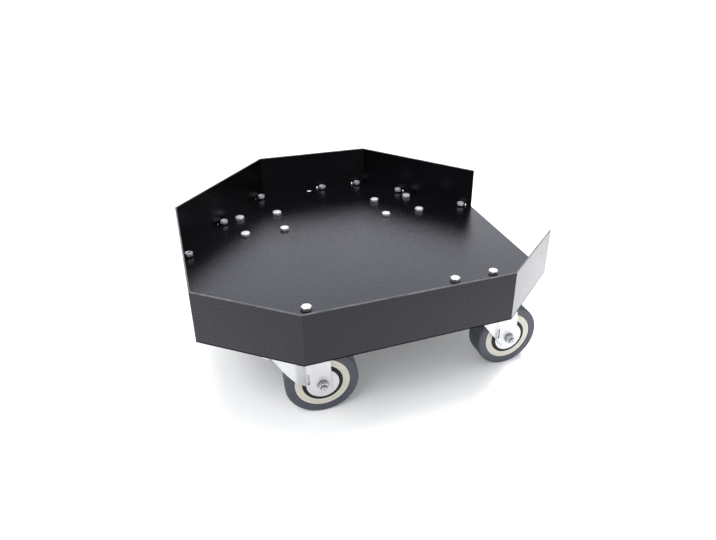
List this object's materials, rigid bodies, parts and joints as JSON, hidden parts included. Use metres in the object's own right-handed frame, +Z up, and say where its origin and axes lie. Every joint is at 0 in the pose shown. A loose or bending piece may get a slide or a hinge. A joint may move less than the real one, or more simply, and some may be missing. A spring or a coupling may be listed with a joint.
{
  "type": "platform dolly",
  "caption": "Low octagonal sheet-steel tray dolly with upright walls, one open side, and swivel casters with grey tyres.",
  "frame": {"origin": "on the floor, below the middle of the tray's width and depth", "axes": "+Z up; -Y towards the long front wall; +X towards the open side"},
  "size_m": [0.382, 0.385, 0.1561],
  "materials": {
    "black_coat": "satin",
    "zinc_plate": "satin",
    "zinc_screws": "bright",
    "bright_steel": "polished",
    "cream_plastic": "satin",
    "black_plastic": "matt",
    "grey_rubber": "matt"
  },
  "bodies": {
    "frame": {"deck": "black_coat", "wall_front": "black_coat", "wall_front_left": "black_coat", "wall_front_right": "black_coat", "wall_left": "black_coat", "wall_back_left": "black_coat", "wall_back": "black_coat", "wall_back_right": "black_coat", "wall_screws": "zinc_screws", "wall_nuts": "zinc_screws", "caster_screws": "zinc_screws", "caster_nuts": "zinc_screws", "front_left_top_plate": "zinc_plate", "front_left_bearing_balls": "bright_steel", "front_left_king_pin": "zinc_plate", "front_left_pin_washer": "zinc_plate", "front_right_top_plate": "zinc_plate", "front_right_bearing_balls": "bright_steel", "front_right_king_pin": "zinc_plate", "front_right_pin_washer": "zinc_plate", "back_left_top_plate": "zinc_plate", "back_left_bearing_balls": "bright_steel", "back_left_king_pin": "zinc_plate", "back_left_pin_washer": "zinc_plate", "back_right_top_plate": "zinc_plate", "back_right_bearing_balls": "bright_steel", "back_right_king_pin": "zinc_plate", "back_right_pin_washer": "zinc_plate"},
    "front_left_swivel": {"front_left_fork": "zinc_plate", "front_left_axle_bolt": "zinc_screws", "front_left_axle_nut": "zinc_screws", "front_left_axle_sleeve": "bright_steel", "front_left_dust_covers": "zinc_plate"},
    "front_left_wheel": {"front_left_rim": "cream_plastic", "front_left_thread_guards": "black_plastic", "front_left_tyre": "grey_rubber"},
    "front_right_swivel": {"front_right_fork": "zinc_plate", "front_right_axle_bolt": "zinc_screws", "front_right_axle_nut": "zinc_screws", "front_right_axle_sleeve": "bright_steel", "front_right_dust_covers": "zinc_plate"},
    "front_right_wheel": {"front_right_rim": "cream_plastic", "front_right_thread_guards": "black_plastic", "front_right_tyre": "grey_rubber"},
    "back_left_swivel": {"back_left_fork": "zinc_plate", "back_left_axle_bolt": "zinc_screws", "back_left_axle_nut": "zinc_screws", "back_left_axle_sleeve": "bright_steel", "back_left_dust_covers": "zinc_plate"},
    "back_left_wheel": {"back_left_rim": "cream_plastic", "back_left_thread_guards": "black_plastic", "back_left_tyre": "grey_rubber"},
    "back_right_swivel": {"back_right_fork": "zinc_plate", "back_right_axle_bolt": "zinc_screws", "back_right_axle_nut": "zinc_screws", "back_right_axle_sleeve": "bright_steel", "back_right_dust_covers": "zinc_plate"},
    "back_right_wheel": {"back_right_rim": "cream_plastic", "back_right_thread_guards": "black_plastic", "back_right_tyre": "grey_rubber"}
  },
  "joints": [
    {"name": "front_left_turn", "type": "hinge", "parent": "frame", "child": "front_left_swivel", "pos_m": [-0.10767, -0.1315, 0.1011], "axis": [0, 0, 1], "continuous": true},
    {"name": "front_left_roll", "type": "hinge", "parent": "front_left_swivel", "child": "front_left_wheel", "pos_m": [-0.07829, -0.13417, 0.0375], "axis": [0.0906, 0.9959, 0], "continuous": true},
    {"name": "front_right_turn", "type": "hinge", "parent": "frame", "child": "front_right_swivel", "pos_m": [0.10767, -0.1315, 0.1011], "axis": [0, 0, 1], "continuous": true},
    {"name": "front_right_roll", "type": "hinge", "parent": "front_right_swivel", "child": "front_right_wheel", "pos_m": [0.13717, -0.13098, 0.0375], "axis": [-0.0175, 0.9998, 0], "continuous": true},
    {"name": "back_left_turn", "type": "hinge", "parent": "frame", "child": "back_left_swivel", "pos_m": [-0.09186, 0.0978, 0.1011], "axis": [0, 0, 1], "continuous": true},
    {"name": "back_left_roll", "type": "hinge", "parent": "back_left_swivel", "child": "back_left_wheel", "pos_m": [-0.06236, 0.0978, 0.0375], "axis": [0, 1, 0], "continuous": true},
    {"name": "back_right_turn", "type": "hinge", "parent": "frame", "child": "back_right_swivel", "pos_m": [0.09186, 0.0978, 0.1011], "axis": [0, 0, 1], "continuous": true},
    {"name": "back_right_roll", "type": "hinge", "parent": "back_right_swivel", "child": "back_right_wheel", "pos_m": [0.12136, 0.0978, 0.0375], "axis": [0, 1, 0], "continuous": true}
  ]
}
